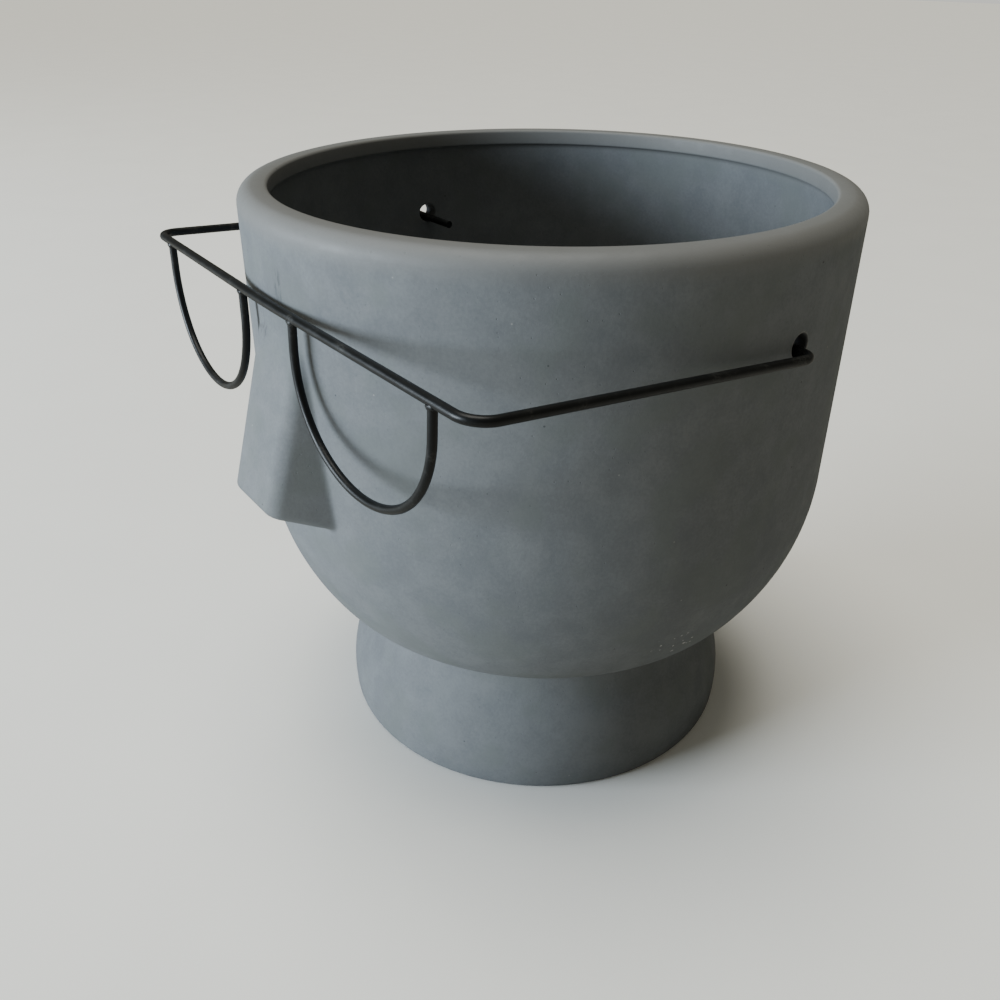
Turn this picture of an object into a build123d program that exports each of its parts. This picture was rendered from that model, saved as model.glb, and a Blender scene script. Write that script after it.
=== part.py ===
from build123d import *
import math
import os

# Head planter: a slip-cast head with a wedge nose on a hollow foot, and wire glasses
# hooked into two holes in its sides. Millimetres and degrees. The origin is the centre
# of the foot's underside, +Z is up and the face looks along -Y.

# The pot's body
pot_height = 160.0
body_radius = 80.2
wall = 6.0
rim_round = 4.0
lip_overhang = 1.8
lip_depth = 4.2
lip_round = 0.8
belly_height = 86.0
side_arc_radius = 64.0
side_arc_turn = 36.0
hip_arc_radius = 27.0

# The foot
foot_radius = 60.4
foot_side_radius = 170.0
foot_wall = 6.0
foot_edge_round = 1.4
foot_hollow_round = 4.0
waist_round = 1.2

# The nose, a wedge that leans back into the brow
nose_reach = 11.8
nose_bottom_drop = 68.9
nose_lean = 16.0
nose_half_width = 10.7
nose_spread = 1.0
nose_flare = 28.5
nose_underside_slope = 17.6
nose_edge_round = 4.2
nose_tip_round = 2.0
nose_root_round = 1.5

# The side holes that the glasses hook into
side_hole_radius = 2.75
side_hole_drop = 25.0
side_hole_setback = 8.0
side_hole_round = 0.6

# The drain hole and its plug
drain_hole_radius = 7.0
plug_gap = 0.3
plug_draft = 0.4
plug_below_floor = 1.6
plug_head_overlap = 4.0
plug_head_thickness = 2.4
plug_head_round = 0.8
plug_tab_width = 9.0
plug_tab_thickness = 2.6
plug_tab_height = 6.0

# The brow wire: brow bar, temples and hooks, bent from one length. Drops are measured
# down from the rim's top.
brow_wire_diameter = 2.25
hook_seat_gap = 0.3
hook_reach_inside = 13.4
hook_bend_radius = 3.4
temple_standoff = 4.1
temple_splay = 4.7
brow_bridge_standoff = 2.1
brow_bridge_drop = 19.5
brow_bridge_radius = 260.0
brow_corner_setback = 2.9
brow_corner_drop = 20.8
brow_corner_radius = 6.0

# The lens rims, two U shapes welded under the brow bar
rim_wire_diameter = 2.05
rim_inner_offset = 13.5
rim_corner_offset = 12.1
rim_leg = 7.0
rim_round_depth_share = 0.93
rim_side_radius_share = 0.975
rim_lean = 1.7
weld_bead_radius = 1.6

# How far a cutting tool runs past the face that it cuts, and how far a point on a
# face may lie from it
overrun = 2.0
face_tolerance = 0.05


def radial(centre, radius, angle):
    """The point at an angle below the horizontal, on a circle in the section plane."""
    turn = math.radians(angle)
    return (centre[0] + radius * math.cos(turn), centre[1] - radius * math.sin(turn))


# Places on the pot, worked out from its sizes
side_centre = (body_radius - side_arc_radius, belly_height)
hip_centre = radial(side_centre, side_arc_radius - hip_arc_radius, side_arc_turn)
floor_underside = hip_centre[1] - hip_arc_radius
floor_top = floor_underside + wall
inner_radius = body_radius - wall
mouth_radius = inner_radius - lip_overhang
nose_front = body_radius + nose_reach
nose_bottom = pot_height - nose_bottom_drop
side_hole_height = pot_height - side_hole_drop


def bowl_curves(inset):
    """The bowl's flat floor, hip arc and side arc, moved inwards by inset."""
    hip_radius = hip_arc_radius - inset
    side_radius = side_arc_radius - inset
    floor_end = (hip_centre[0], hip_centre[1] - hip_radius)
    return [
        Line((0, floor_end[1]), floor_end),
        CenterArc(hip_centre, hip_radius, -90, 90 - side_arc_turn),
        CenterArc(side_centre, side_radius, -side_arc_turn, side_arc_turn),
    ]


def section(curves):
    """A flat half section from closed curves: x is the radius and y the height."""
    return make_face([curve.edge() for curve in curves])


def turned(half_section):
    """The solid that a half section sweeps out round the Z axis."""
    return revolve(Plane.XZ * half_section, Axis.Z)


def bowl_outside():
    """The bowl's section as a full block, with the rim's outer edge rounded over."""
    round_start = (body_radius, pot_height - rim_round)
    round_end = (body_radius - rim_round, pot_height)
    return section(
        bowl_curves(0)
        + [
            Line((body_radius, belly_height), round_start),
            CenterArc((round_end[0], round_start[1]), rim_round, 0, 90),
            Line(round_end, (0, pot_height)),
            Line((0, pot_height), (0, floor_underside)),
        ]
    )


def bowl_inside():
    """The section of the space in the bowl, with a cove under the lip."""
    lip_bottom = pot_height - lip_depth
    cove_start = (inner_radius, lip_bottom - lip_overhang)
    lip_top = (mouth_radius, pot_height - lip_round)
    edge = (mouth_radius + lip_round, pot_height)
    above = pot_height + overrun
    return section(
        bowl_curves(wall)
        + [
            Line((inner_radius, belly_height), cove_start),
            CenterArc((mouth_radius, cove_start[1]), lip_overhang, 0, 90),
            Line((mouth_radius, lip_bottom), lip_top),
            CenterArc((edge[0], lip_top[1]), lip_round, 90, 90),
            Line(edge, (edge[0], above)),
            Line((edge[0], above), (0, above)),
            Line((0, above), (0, floor_top)),
        ]
    )


def foot_section(inset, bottom, top):
    """The foot's section: its side stands upright at the ground and leans in above."""
    centre_x = foot_radius - foot_side_radius
    radius = foot_side_radius - inset
    low = (centre_x + math.sqrt(radius**2 - bottom**2), bottom)
    high = (centre_x + math.sqrt(radius**2 - top**2), top)
    return section(
        [
            Line((0, bottom), low),
            RadiusArc(low, high, -radius),
            Line(high, (0, top)),
            Line((0, top), (0, bottom)),
        ]
    )


def turned_body():
    """Bowl and foot in one turned wall, hollow above and below, with the drain hole."""
    outside = bowl_outside() + foot_section(0, 0, hip_centre[1])
    levels = outside.vertices().filter_by(lambda corner: corner.X > face_tolerance).group_by(Axis.Y)
    waist = levels[1].sort_by(Axis.X)[0]
    outside = fillet(waist, waist_round)
    ground_edge = outside.vertices().group_by(Axis.Y)[0].sort_by(Axis.X)[-1]
    outside = fillet(ground_edge, foot_edge_round)
    hollow = foot_section(foot_wall, -overrun, floor_underside)
    ceiling_corner = hollow.vertices().group_by(Axis.Y)[-1].sort_by(Axis.X)[-1]
    hollow = fillet(ceiling_corner, foot_hollow_round)
    drain = Pos(0, floor_underside - overrun) * Rectangle(
        drain_hole_radius, wall + 2 * overrun, align=(Align.MIN, Align.MIN)
    )
    return turned(outside - bowl_inside() - hollow - drain)


def nose_wedge(inset):
    """The wedge nose moved inwards by inset. Its back runs into the bowl's wall."""
    lean = math.radians(nose_lean)
    flare = math.radians(nose_flare)
    front = nose_front - inset / math.cos(lean)
    back = body_radius - wall / 2 - inset
    root = nose_bottom + (front - back - wall / 4) / math.tan(lean)
    slope = math.radians(nose_underside_slope)
    low = nose_bottom - (front - back) * math.tan(slope)
    corner_inset = inset * (1 - math.sin(flare)) / math.cos(flare)

    def level(height):
        climb = height - nose_bottom
        front_here = front - climb * math.tan(lean)
        half_front = nose_half_width - corner_inset + climb * math.tan(math.radians(nose_spread))
        half_back = half_front + (front_here - back) * math.tan(flare)
        corners = [
            (-half_front, -front_here, height),
            (half_front, -front_here, height),
            (half_back, -back, height),
            (-half_back, -back, height),
        ]
        return make_face(Polyline(*corners, close=True))

    wedge = loft([level(low - overrun), level(root)], ruled=True)
    under_edge = Plane(
        origin=(0, -front, nose_bottom + inset),
        x_dir=(1, 0, 0),
        z_dir=(0, math.sin(slope), math.cos(slope)),
    )
    return split(wedge, bisect_by=under_edge, keep=Keep.TOP)


def rounded_nose():
    """The outer nose with soft front edges and a soft tip."""
    nose = nose_wedge(0)
    sides = nose.edges().filter_by(lambda edge: abs(edge.tangent_at(0.5).Z) > 0.5)
    front_edges = sides.sort_by(Axis.Y)[:2]
    nose = fillet(front_edges, nose_edge_round)
    underside = nose.faces().sort_by(Axis.Z)[0]
    behind = -body_radius
    tip_edges = underside.edges().filter_by(lambda edge: edge.center().Y < behind + overrun)
    return fillet(tip_edges, nose_tip_round)


def head_pot():
    """The slip-cast head: bowl, nose and foot in one piece."""
    pot = turned_body() + (rounded_nose() - turned(bowl_inside()))
    junction = pot.edges().filter_by(
        lambda edge: all(
            abs(math.hypot(spot.X, spot.Y) - body_radius) < face_tolerance
            and abs(spot.X) < body_radius / 2
            for spot in (edge.position_at(0), edge.position_at(0.5), edge.position_at(1))
        )
    )
    pot = fillet(junction, nose_root_round)
    pot -= nose_wedge(wall)
    pot -= Pos(0, side_hole_setback, side_hole_height) * Rot(0, 90, 0) * Cylinder(
        side_hole_radius, 2 * (body_radius + overrun)
    )
    reach = side_hole_radius + overrun
    hole_edges = pot.edges().filter_by(
        lambda edge: edge.is_closed and abs(edge.center().Z - side_hole_height) < reach
    )
    return fillet(hole_edges, side_hole_round)


def drain_plug():
    """A tapered rubber stopper with a flat head and a tab to pull it by."""
    top_radius = drain_hole_radius - plug_gap
    stem_bottom = floor_underside - plug_below_floor
    tip_radius = top_radius - plug_draft
    stem = turned(
        section(
            [
                Line((0, stem_bottom), (tip_radius, stem_bottom)),
                Line((tip_radius, stem_bottom), (top_radius, floor_top)),
                Line((top_radius, floor_top), (0, floor_top)),
                Line((0, floor_top), (0, stem_bottom)),
            ]
        )
    )
    head = Pos(0, 0, floor_top) * Cylinder(
        drain_hole_radius + plug_head_overlap,
        plug_head_thickness,
        align=(Align.CENTER, Align.CENTER, Align.MIN),
    )
    head = fillet(head.edges().sort_by(Axis.Z)[-1], plug_head_round)
    tab = Pos(0, 0, floor_top) * Box(
        plug_tab_width,
        plug_tab_thickness,
        plug_head_thickness + plug_tab_height,
        align=(Align.CENTER, Align.CENTER, Align.MIN),
    )
    tab = fillet(tab.edges().filter_by(Axis.Y).sort_by(Axis.Z)[-2:], plug_tab_thickness)
    return stem + head + tab


# Places along the glasses, worked out from the holes, the rim and the pot's side
hook_height = side_hole_height - side_hole_radius + hook_seat_gap + brow_wire_diameter / 2
hook_inner_end = Vector(inner_radius - hook_reach_inside, side_hole_setback, hook_height)
hook_outer_end = Vector(body_radius + temple_standoff, side_hole_setback, hook_height)
brow_bridge = Vector(0, -body_radius - brow_bridge_standoff, pot_height - brow_bridge_drop)
brow_corner = Vector(
    hook_outer_end.X - temple_splay, brow_bridge.Y + brow_corner_setback, pot_height - brow_corner_drop
)
rim_outer_offset = brow_corner.X - rim_corner_offset
rim_centre = (rim_outer_offset + rim_inner_offset) / 2
rim_half_width = (rim_outer_offset - rim_inner_offset) / 2


def brow_and_temple_wire():
    """One wire: hook, temple, brow bar, temple and hook, bent in tangent arcs."""
    half = [hook_inner_end, hook_outer_end, brow_corner]
    other_half = [Vector(-point.X, point.Y, point.Z) for point in reversed(half)]
    bends = [hook_bend_radius, brow_corner_radius, brow_bridge_radius]
    path = FilletPolyline(*half, brow_bridge, *other_half, radius=bends + bends[1::-1])
    start = Plane(origin=half[0], z_dir=(1, 0, 0))
    return sweep(start * Circle(brow_wire_diameter / 2), path=path.wire())


def rim_plane(side):
    """The plane of one lens rim: x along the brow bar, y up, leaning out at the foot."""
    along = (brow_corner - brow_bridge).normalized()
    along = Vector(along.X, side * along.Y, side * along.Z)
    centre = brow_bridge + along * (side * rim_centre / along.X)
    upright = Vector(0, math.sin(math.radians(rim_lean)), math.cos(math.radians(rim_lean)))
    return Plane(origin=centre, x_dir=along, z_dir=along.cross(upright))


def rim_wire(side):
    """One U-shaped lens rim: straight legs, side arcs and a flatter bottom arc."""
    depth = rim_half_width * rim_round_depth_share
    side_radius = depth * rim_side_radius_share
    offset = rim_half_width - side_radius
    rise = depth - side_radius
    bottom_radius = side_radius + (offset**2 + rise**2) / (2 * rise)
    turn = math.degrees(math.atan2(bottom_radius - depth, offset))
    outline = [
        Line((rim_half_width, 0), (rim_half_width, -rim_leg)),
        CenterArc((offset, -rim_leg), side_radius, 0, -turn),
        CenterArc((0, bottom_radius - depth - rim_leg), bottom_radius, -turn, 2 * turn - 180),
        CenterArc((-offset, -rim_leg), side_radius, turn - 180, -turn),
        Line((-rim_half_width, -rim_leg), (-rim_half_width, 0)),
    ]
    plane = rim_plane(side)
    path = Wire([edge for curve in outline for edge in (plane * curve).edges()])
    start = Plane(origin=path.position_at(0), z_dir=path.tangent_at(0))
    return sweep(start * Circle(rim_wire_diameter / 2), path=path)


def weld_bead(side, end):
    """The blob of weld round one end of a rim, under the brow bar."""
    spot = rim_plane(side) * Pos(end * rim_half_width, -brow_wire_diameter / 2)
    return spot * Sphere(weld_bead_radius)


brow = brow_and_temple_wire()
rims = {side: rim_wire(side) for side in (-1, 1)}
beads = [weld_bead(side, end) - brow - rims[side] for side in (-1, 1) for end in (-1, 1)]

nodes = {
    "head_pot": head_pot(),
    "drain_plug": drain_plug(),
    "brow_and_temple_wire": brow,
    "left_lens_rim": rims[1] - brow,
    "right_lens_rim": rims[-1] - brow,
    "weld_beads": Compound(children=beads),
}

os.makedirs("parts", exist_ok=True)
for name, node in nodes.items():
    export_step(node, f"parts/{name}.step")
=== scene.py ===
"""The dressed head planter: a matte stoneware head on a hollow foot, with wire glasses.

Every length of the object is in millimetres until a mesh is made, and every mesh is in
metres in the frame of the solids: the origin is the centre of the foot's underside, +Z is
up and the face looks along -Y.
"""

from __future__ import annotations

import logging
import math
from dataclasses import dataclass, field
from enum import Enum
from typing import Sequence

import bpy
from mathutils import Matrix, Vector
from mathutils import noise as soft_noise

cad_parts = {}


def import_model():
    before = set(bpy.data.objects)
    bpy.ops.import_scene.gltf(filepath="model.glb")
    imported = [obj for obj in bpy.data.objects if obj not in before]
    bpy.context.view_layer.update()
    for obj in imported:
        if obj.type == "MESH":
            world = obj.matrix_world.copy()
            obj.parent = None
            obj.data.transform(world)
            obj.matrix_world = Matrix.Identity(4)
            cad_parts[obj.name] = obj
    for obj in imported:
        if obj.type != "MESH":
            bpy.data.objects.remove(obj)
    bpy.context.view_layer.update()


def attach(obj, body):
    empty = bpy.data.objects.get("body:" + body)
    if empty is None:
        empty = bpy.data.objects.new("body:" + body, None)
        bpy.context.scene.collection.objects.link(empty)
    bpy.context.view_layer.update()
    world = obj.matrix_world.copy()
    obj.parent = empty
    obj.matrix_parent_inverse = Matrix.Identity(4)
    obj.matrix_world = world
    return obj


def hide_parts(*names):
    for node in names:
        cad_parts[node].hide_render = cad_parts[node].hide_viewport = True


LOG = logging.getLogger("head_planter")
MM = 0.001

# The layout of a node tree in its editor.
NODES_IN_ROW = 12
NODE_STEP = (180, 220)

# The cosine from which two faces count as one, and the slack, in millimetres or degrees,
# with which rows and columns are matched.
NEARLY_PARALLEL = 0.9999
HAIR = 0.01

Point2 = tuple[float, float]
Point3 = tuple[float, float, float]
Colour = tuple[float, float, float]
Band = tuple[float, float]
Socket = bpy.types.NodeSocket


class Side(Enum):
    """A side of the head. The value is the sign of X there."""

    LEFT = 1
    RIGHT = -1


class Body(Enum):
    """The moving bodies of the object."""

    POT = "pot"
    GLASSES = "glasses"
    PLUG = "plug"


class Slot(Enum):
    """The finishes that the record names."""

    STONEWARE = "stoneware"
    WIRE = "black_wire"
    RUBBER = "plug_rubber"


class Wall(Enum):
    """Which wall of the pot a row of its mesh lies on."""

    OUTER = 1
    INNER = 2
    PLAIN = 3


Row = tuple[float, float, Wall]


# Patterns


@dataclass(frozen=True)
class Grain:
    """A noise: the size of its features in millimetres, its finer layers and their strength."""

    size: float
    detail: float = 2.0
    rough: float = 0.5


@dataclass(frozen=True)
class Scatter:
    """Round dots: their rough spacing, their radius and the share of the places with one.

    The lengths are in millimetres. The core is the share of the radius inside the soft edge.
    """

    spacing: float
    radius: float
    share: float
    core: float = 0.55


@dataclass(frozen=True)
class Patch:
    """A soft-edged patch seen from the face, by its middle and half sizes in millimetres.

    The core is the share of each half size inside the soft edge.
    """

    x: float
    half_x: float
    z: float
    half_z: float
    core: float = 0.4


@dataclass(frozen=True)
class HookHole:
    """The round hole in each side of the head for a hook of the glasses, in millimetres."""

    y: float = 8.0
    z: float = 135.0
    radius: float = 2.75
    edge_round: float = 0.6


# Node graphs


class Graph:
    """A node tree that is being built, with short calls for the nodes that recur."""

    def __init__(self, tree: bpy.types.NodeTree) -> None:
        """Keeps the tree, whose own nodes are made one by one."""
        self.tree = tree

    def node(self, kind: str, **settings: object) -> bpy.types.Node:
        """Adds a node.

        Args:
            kind: The node's type.
            settings: Properties to set on it.

        Returns:
            The new node.
        """
        made = self.tree.nodes.new(kind)
        row, column = divmod(len(self.tree.nodes), NODES_IN_ROW)
        made.location = (NODE_STEP[0] * column, -NODE_STEP[1] * row)
        for name, value in settings.items():
            setattr(made, name, value)
        return made

    def feed(self, socket: Socket, value: object) -> None:
        """Links value into a socket if it is a socket, and sets it there if it isn't.

        Args:
            socket: The input.
            value: A socket or a plain value.
        """
        if isinstance(value, bpy.types.NodeSocket):
            self.tree.links.new(value, socket)
        else:
            socket.default_value = value

    def math(self, operation: str, *values: object) -> Socket:
        """Adds a Math node.

        Args:
            operation: What it does.
            values: A socket or a number for each of its inputs.

        Returns:
            The node's output.
        """
        made = self.node("ShaderNodeMath", operation=operation)
        for socket, value in zip(made.inputs, values):
            self.feed(socket, value)
        return made.outputs[0]

    def times(self, product: Socket, *factors: object) -> Socket:
        """Multiplies values one after another.

        Args:
            product: The first value.
            factors: The other values, as sockets or numbers.

        Returns:
            The product of them all.
        """
        for factor in factors:
            product = self.math("MULTIPLY", product, factor)
        return product

    def steps(
        self, value: object, low: float, high: float, start: float = 0.0, end: float = 1.0
    ) -> Socket:
        """Adds a smooth step.

        Args:
            value: The socket that is read.
            low: Where the step starts.
            high: Where it ends.
            start: The result before it.
            end: The result after it.

        Returns:
            The step's output.
        """
        made = self.node("ShaderNodeMapRange", interpolation_type="SMOOTHSTEP")
        for name, given in (
            ("Value", value),
            ("From Min", low),
            ("From Max", high),
            ("To Min", start),
            ("To Max", end),
        ):
            self.feed(made.inputs[name], given)
        return made.outputs["Result"]


class Paint(Graph):
    """A material's node tree, read on Object coordinates in metres."""

    def __init__(self, name: str) -> None:
        """Starts a material with one Principled shader.

        Args:
            name: The material's name.
        """
        self.material = bpy.data.materials.new(name)
        self.material.use_nodes = True
        super().__init__(self.material.node_tree)
        self.shader = self.tree.nodes["Principled BSDF"]
        self.place = self.node("ShaderNodeTexCoord").outputs["Object"]
        self.axes = self.node("ShaderNodeSeparateXYZ")
        self.feed(self.axes.inputs[0], self.place)

    def noise(self, pattern: Grain, place: Socket | None = None) -> Socket:
        """Adds a noise.

        Args:
            pattern: The noise's size, layers and roughness.
            place: Where it is read, if not at the object's own coordinates.

        Returns:
            The noise's value, about 0.5 on average.
        """
        made = self.node("ShaderNodeTexNoise", noise_dimensions="3D")
        self.feed(made.inputs["Vector"], place or self.place)
        made.inputs["Scale"].default_value = 1.0 / (pattern.size * MM)
        made.inputs["Detail"].default_value = pattern.detail
        made.inputs["Roughness"].default_value = pattern.rough
        return made.outputs[0]

    def dots(self, pattern: Scatter) -> Socket:
        """Adds scattered round dots.

        Args:
            pattern: The dots' spacing, radius and share.

        Returns:
            1 in a dot and 0 outside it.
        """
        cells = self.node("ShaderNodeTexVoronoi", feature="F1")
        self.feed(cells.inputs["Vector"], self.place)
        cells.inputs["Scale"].default_value = 1.0 / (pattern.spacing * MM)
        edge = pattern.radius / pattern.spacing
        spot = self.steps(cells.outputs["Distance"], edge * pattern.core, edge, 1.0, 0.0)
        tint = self.node("ShaderNodeSeparateColor")
        self.feed(tint.inputs[0], cells.outputs["Color"])
        return self.times(spot, self.math("LESS_THAN", tint.outputs[0], pattern.share))

    def blend(self, factor: object, below: object, above: object) -> Socket:
        """Adds a colour mix.

        Args:
            factor: How much of the upper colour is seen.
            below: The lower colour, a socket or a colour.
            above: The upper colour, a socket or a colour.

        Returns:
            The mixed colour.
        """
        made = self.node("ShaderNodeMix", data_type="RGBA")
        self.feed(made.inputs[0], factor)
        for socket, value in ((made.inputs[6], below), (made.inputs[7], above)):
            if isinstance(value, tuple):
                value = (*value, 1.0)
            self.feed(socket, value)
        return made.outputs[2]

    def stretched(self, scale: Point3) -> Socket:
        """Scales the coordinates, for drawn-out patterns.

        Args:
            scale: The factor on each axis.

        Returns:
            The scaled coordinates.
        """
        made = self.node("ShaderNodeMapping")
        self.feed(made.inputs["Vector"], self.place)
        made.inputs["Scale"].default_value = scale
        return made.outputs[0]

    def gap(self, axis: int, middle: float) -> Socket:
        """Returns how far a point lies from a place on one axis, given in millimetres."""
        way = self.math("SUBTRACT", self.axes.outputs[axis], middle * MM)
        return self.math("ABSOLUTE", way)

    def fade(self, length: Socket, band: Band, start: float = 0.0, end: float = 1.0) -> Socket:
        """Adds a smooth step on a length, with its band in millimetres."""
        return self.steps(length, band[0] * MM, band[1] * MM, start, end)

    def patch(self, spot: Patch) -> Socket:
        """Adds a soft-edged patch.

        Args:
            spot: Its middle and half sizes.

        Returns:
            1 in the middle of the patch and 0 beyond its half sizes.
        """
        across = (spot.half_x * spot.core, spot.half_x)
        upwards = (spot.half_z * spot.core, spot.half_z)
        near_x = self.fade(self.gap(0, spot.x), across, 1.0, 0.0)
        near_z = self.fade(self.gap(2, spot.z), upwards, 1.0, 0.0)
        return self.times(near_x, near_z)

    def relief(self, *layers: tuple[Socket, float]) -> None:
        """Adds bumps.

        Args:
            layers: For each, the height's socket and the height that 1 stands for, in
                millimetres.
        """
        normal = None
        for height, depth in layers:
            made = self.node("ShaderNodeBump")
            made.inputs["Strength"].default_value = 1.0
            made.inputs["Distance"].default_value = depth * MM
            self.feed(made.inputs["Height"], height)
            if normal is not None:
                self.feed(made.inputs["Normal"], normal)
            normal = made.outputs[0]
        self.feed(self.shader.inputs["Normal"], normal)

    def dress(self, colour: Socket, roughness: Socket, shine: float) -> None:
        """Feeds the shader.

        Args:
            colour: The base colour.
            roughness: The roughness.
            shine: The specular level.
        """
        self.feed(self.shader.inputs["Base Color"], colour)
        self.feed(self.shader.inputs["Roughness"], roughness)
        self.shader.inputs["Specular IOR Level"].default_value = shine


# Finishes


@dataclass(frozen=True)
class StonewareFinish:
    """Matte blue-grey stoneware with a dry slip surface, fine pits and a few scuffs, a painted warm
    light on the rim's top and painted shade in the hook holes.

    Lengths are in millimetres, and a band is where a step starts and where it ends.
    """

    hole: HookHole
    deep: Colour = (0.143, 0.154, 0.164)
    pale: Colour = (0.187, 0.199, 0.206)
    green: Colour = (0.152, 0.168, 0.164)
    painted_rim_light: Colour = (0.186, 0.187, 0.181)
    clay: Colour = (0.46, 0.44, 0.41)
    chalk: Colour = (0.72, 0.71, 0.68)
    dark_marks_and_shade: Colour = (0.030, 0.031, 0.034)
    cloud: Grain = Grain(55.0)
    mottle: Grain = Grain(7.0, 3.0, 0.6)
    grain: Grain = Grain(0.8, 3.0, 0.65)
    cloud_share: float = 0.35
    mottle_share: float = 0.35
    grain_share: float = 0.3
    tone_band: Band = (0.36, 0.64)
    tinge: Grain = Grain(15.0)
    tinge_band: Band = (0.48, 0.66)
    tinge_strength: float = 0.5
    rim_z: float = 152.0
    rim_light_fade: float = 7.0
    rim_light_strength: float = 0.8
    dark_specks: Scatter = Scatter(5.2, 0.3, 0.3)
    dark_strength: float = 0.6
    pale_specks: Scatter = Scatter(6.4, 0.27, 0.3)
    pale_strength: float = 0.35
    dry_patches: Grain = Grain(4.0)
    dry_band: Band = (0.3, 0.7)
    dry_roughness: Band = (0.74, 0.84)
    burnish_low: float = 1.0
    burnish_high: float = 4.5
    burnish_strength: float = 0.22
    shine: float = 0.28
    waves: Grain = Grain(14.0, 1.0)
    wave_depth: float = 0.18
    grain_depth: float = 0.035
    pits: Scatter = Scatter(1.6, 0.2, 0.3)
    pit_depth: float = 0.06
    hole_shade_edge: float = 0.1
    hole_shade_fade: float = 0.45
    hole_shade_strength: float = 0.88
    hole_shade_x_band: Band = (75.0, 77.5)
    chips: Grain = Grain(1.3, 3.0, 0.7)
    chip_depth: float = 1.6
    wear_low: float = 1.0
    wear_high: float = 1.6
    wear_x_band: Band = (78.9, 79.3)
    wear_strength: float = 0.3
    streaks: Grain = Grain(1.3, 4.0, 0.75)
    streak_stretch: Point3 = (1.0, 1.0, 0.2)
    streak_band: Band = (0.45, 0.66)
    mark_y_band: Band = (-79.0, -77.0)
    mark_below_bar: Patch = Patch(-7.4, 3.4, 134.5, 7.5)
    mark_above_bar: Patch = Patch(3.4, 2.2, 144.6, 5.0)
    mark_strength: float = 0.52
    large_flecks: Scatter = Scatter(2.3, 0.62, 0.5)
    small_flecks: Scatter = Scatter(1.3, 0.4, 0.35)
    scuffs: Grain = Grain(0.7, 3.0, 0.7)
    scuff_band: Band = (0.36, 0.48)
    scrape: Patch = Patch(72.0, 9.0, 56.8, 6.0)
    scrape_y: float = -11.5
    scrape_y_band: Band = (4.5, 9.0)
    scrape_strength: float = 0.85

    def material(self) -> bpy.types.Material:
        """Builds the material.

        Returns:
            The material.
        """
        paint = Paint("matte_stoneware")
        grain = paint.noise(self.grain)
        colour = self.slip_colour(paint, grain)
        for mark, tint in (
            (paint.times(paint.dots(self.dark_specks), self.dark_strength), self.dark_marks_and_shade),
            (paint.times(paint.dots(self.pale_specks), self.pale_strength), self.clay),
            (self.hole_wear(paint), self.clay),
            # The hook holes' walls get painted shade, in the same dark colour as the real dark
            # specks and the bar's rub marks.
            (self.hole_shade(paint), self.dark_marks_and_shade),
            (self.bar_marks(paint), self.dark_marks_and_shade),
            (self.scrapes(paint), self.chalk),
        ):
            colour = paint.blend(mark, colour, tint)
        paint.dress(colour, self.roughness(paint), self.shine)
        paint.relief(
            (paint.noise(self.waves), self.wave_depth),
            (grain, self.grain_depth),
            (paint.math("SUBTRACT", 1.0, paint.dots(self.pits)), self.pit_depth),
        )
        return paint.material

    def slip_colour(self, paint: Paint, grain: Socket) -> Socket:
        """Mixes the colour of the slip, with a painted warm light on the rim's top, before any mark
        on it.

        Args:
            paint: The material that is being built.
            grain: Its finest noise, which the relief shares.

        Returns:
            The colour.
        """
        fine = paint.math(
            "ADD",
            paint.times(paint.noise(self.mottle), self.mottle_share),
            paint.times(grain, self.grain_share),
        )
        tone = paint.math("ADD", paint.times(paint.noise(self.cloud), self.cloud_share), fine)
        colour = paint.blend(paint.steps(tone, *self.tone_band), self.deep, self.pale)
        tinge = paint.steps(paint.noise(self.tinge), *self.tinge_band)
        colour = paint.blend(paint.times(tinge, self.tinge_strength), colour, self.green)
        # The rim's top gets a warm painted light, faded in above rim_z.
        band = (self.rim_z, self.rim_z + self.rim_light_fade)
        top = paint.fade(paint.axes.outputs[2], band, 0.0, self.rim_light_strength)
        return paint.blend(top, colour, self.painted_rim_light)

    def roughness(self, paint: Paint) -> Socket:
        """Makes the slip dry in patches, and rubbed smoother on the rim.

        Args:
            paint: The material that is being built.

        Returns:
            The roughness.
        """
        dry = paint.steps(paint.noise(self.dry_patches), *self.dry_band, *self.dry_roughness)
        band = (self.rim_z + self.burnish_low, self.rim_z + self.burnish_high)
        burnish = paint.fade(paint.axes.outputs[2], band, 0.0, self.burnish_strength)
        return paint.math("SUBTRACT", dry, burnish)

    def hole_reach(self, paint: Paint) -> Socket:
        """Measures the distance from the axis of the hook holes.

        Args:
            paint: The material that is being built.

        Returns:
            The distance in metres.
        """
        across = paint.gap(1, self.hole.y)
        along = paint.gap(2, self.hole.z)
        square = paint.math("ADD", paint.times(across, across), paint.times(along, along))
        return paint.math("SQRT", square)

    def hole_shade(self, paint: Paint) -> Socket:
        """Paints shade on the walls of the hook holes, towards their outer ends.

        Args:
            paint: The material that is being built.

        Returns:
            How much painted shade the wall gets.
        """
        edge = self.hole.radius + self.hole_shade_edge
        band = (edge, edge + self.hole_shade_fade)
        bore = paint.fade(self.hole_reach(paint), band, self.hole_shade_strength, 0.0)
        depth = paint.math("ABSOLUTE", paint.axes.outputs[0])
        return paint.times(bore, paint.fade(depth, self.hole_shade_x_band))

    def hole_wear(self, paint: Paint) -> Socket:
        """Makes the bare clay at the worn edges of the hook holes.

        Args:
            paint: The material that is being built.

        Returns:
            How bare the clay is.
        """
        ragged = paint.times(paint.noise(self.chips), self.chip_depth * MM)
        edge = paint.math("ADD", self.hole_reach(paint), ragged)
        band = (self.hole.radius + self.wear_low, self.hole.radius + self.wear_high)
        ring = paint.fade(edge, band, 1.0, 0.0)
        skin = paint.fade(paint.math("ABSOLUTE", paint.axes.outputs[0]), self.wear_x_band)
        return paint.times(ring, skin, self.wear_strength)

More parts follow.
